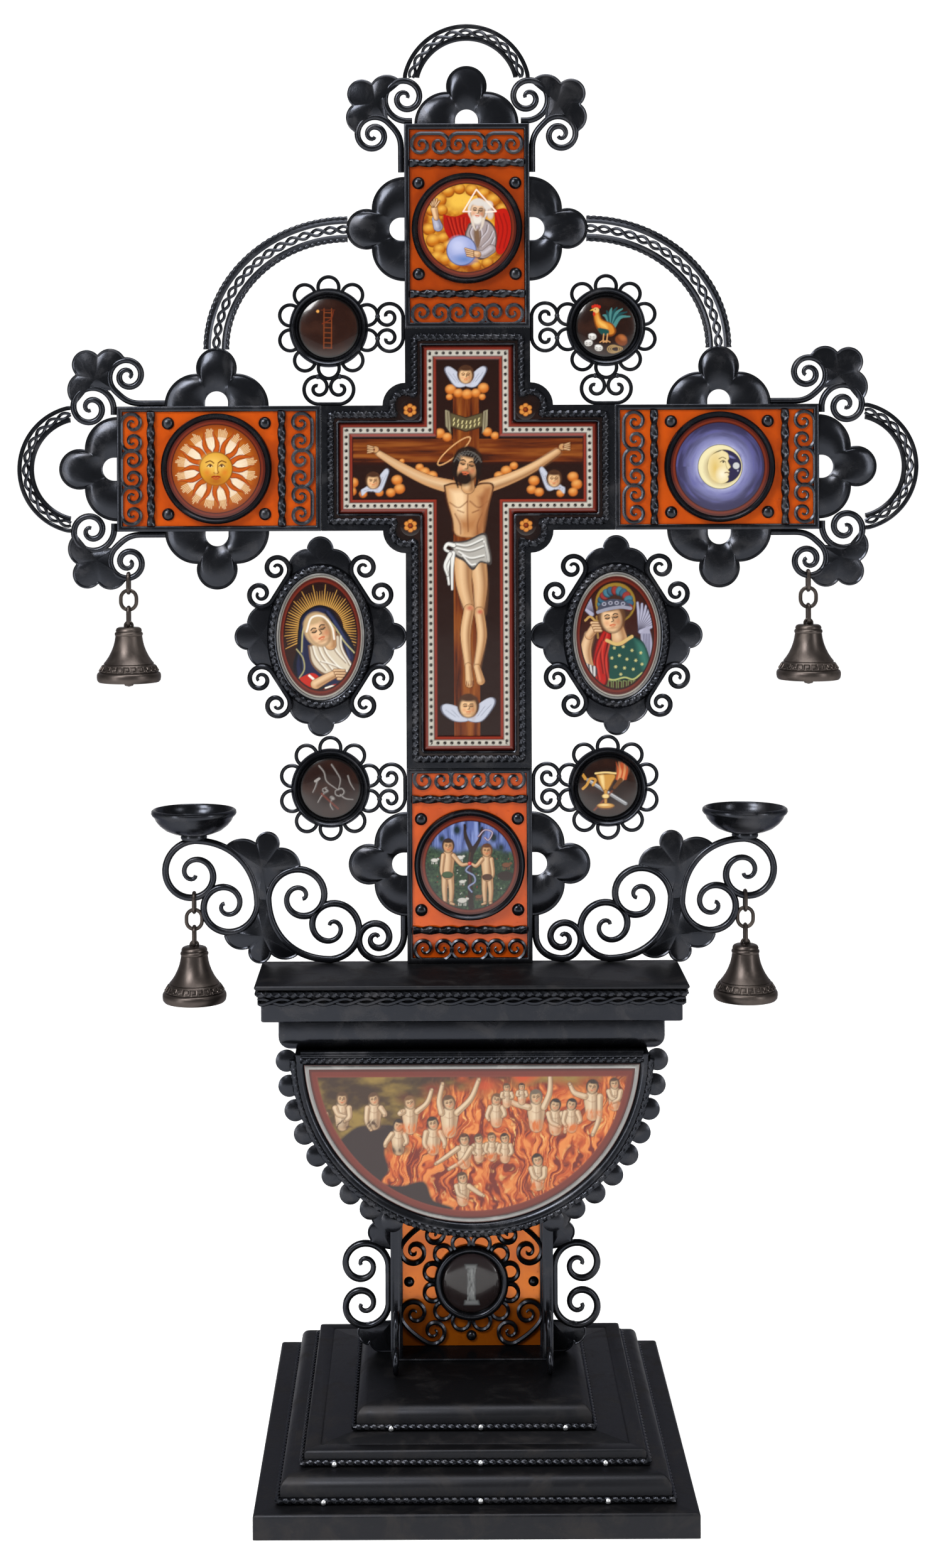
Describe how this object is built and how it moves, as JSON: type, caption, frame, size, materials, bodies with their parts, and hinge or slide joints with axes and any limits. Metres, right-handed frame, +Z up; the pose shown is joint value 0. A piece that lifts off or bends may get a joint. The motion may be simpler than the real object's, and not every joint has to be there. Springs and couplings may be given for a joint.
{
  "type": "iron devotional cross",
  "caption": "Standing iron cross with enamel plaques, petal medallions, scrolled candle arms and hanging bells, on a stepped base.",
  "frame": {"origin": "middle of the base's underside, on the floor", "axes": "+Z up the cross, +X to the viewer's right along the arms, -Y out of the painted front"},
  "size_m": [0.718, 0.34, 1.1185],
  "materials": {
    "blackened_iron": "satin blackened iron",
    "worn_brown_iron": "worn brown-grey iron",
    "bell_iron": "dark bronze-brown cast bell metal",
    "amber_enamel": "glossy amber enamel",
    "painted_enamel": "glossy painted enamel",
    "dark_painted_enamel": "glossy dark painted enamel"
  },
  "bodies": {
    "root": {"base_slab": "worn_brown_iron", "base_lower_molding": "worn_brown_iron", "base_middle_slab": "worn_brown_iron", "base_upper_molding": "worn_brown_iron", "pedestal_post": "blackened_iron", "pedestal_panel": "amber_enamel", "pedestal_medallion_ring": "blackened_iron", "pedestal_medallion": "dark_painted_enamel", "pedestal_bracket_left": "blackened_iron", "pedestal_bracket_right": "blackened_iron", "pedestal_brace_left": "blackened_iron", "pedestal_brace_right": "blackened_iron", "lunette_case": "blackened_iron", "lunette_plaque": "painted_enamel", "shelf_cove": "blackened_iron", "shelf_fascia": "blackened_iron", "shelf_top": "worn_brown_iron", "top_panel_frame": "blackened_iron", "bottom_panel_frame": "blackened_iron", "left_panel_frame": "blackened_iron", "right_panel_frame": "blackened_iron", "top_amber_panel": "amber_enamel", "bottom_amber_panel": "amber_enamel", "left_amber_panel": "amber_enamel", "right_amber_panel": "amber_enamel", "top_roundel": "painted_enamel", "bottom_roundel": "painted_enamel", "left_roundel": "painted_enamel", "right_roundel": "painted_enamel", "crucifix_frame": "blackened_iron", "crucifix_plaque": "painted_enamel", "top_left_ornament": "blackened_iron", "top_right_ornament": "blackened_iron", "left_arm_upper_ornament": "blackened_iron", "left_arm_lower_ornament": "blackened_iron", "right_arm_upper_ornament": "blackened_iron", "right_arm_lower_ornament": "blackened_iron", "top_arch": "blackened_iron", "left_arch": "blackened_iron", "right_arch": "blackened_iron", "wing_arch_left": "blackened_iron", "wing_arch_right": "blackened_iron", "upper_left_medallion_rim": "blackened_iron", "upper_right_medallion_rim": "blackened_iron", "lower_left_medallion_rim": "blackened_iron", "lower_right_medallion_rim": "blackened_iron", "upper_left_medallion": "dark_painted_enamel", "upper_right_medallion": "dark_painted_enamel", "lower_left_medallion": "dark_painted_enamel", "lower_right_medallion": "dark_painted_enamel", "oval_frame_left": "blackened_iron", "oval_frame_right": "blackened_iron", "oval_plaque_left": "painted_enamel", "oval_plaque_right": "painted_enamel", "candle_arm_left": "blackened_iron", "candle_arm_right": "blackened_iron", "upper_bell_left": "bell_iron", "upper_bell_right": "bell_iron", "lower_bell_left": "bell_iron", "lower_bell_right": "bell_iron"}
  },
  "joints": []
}
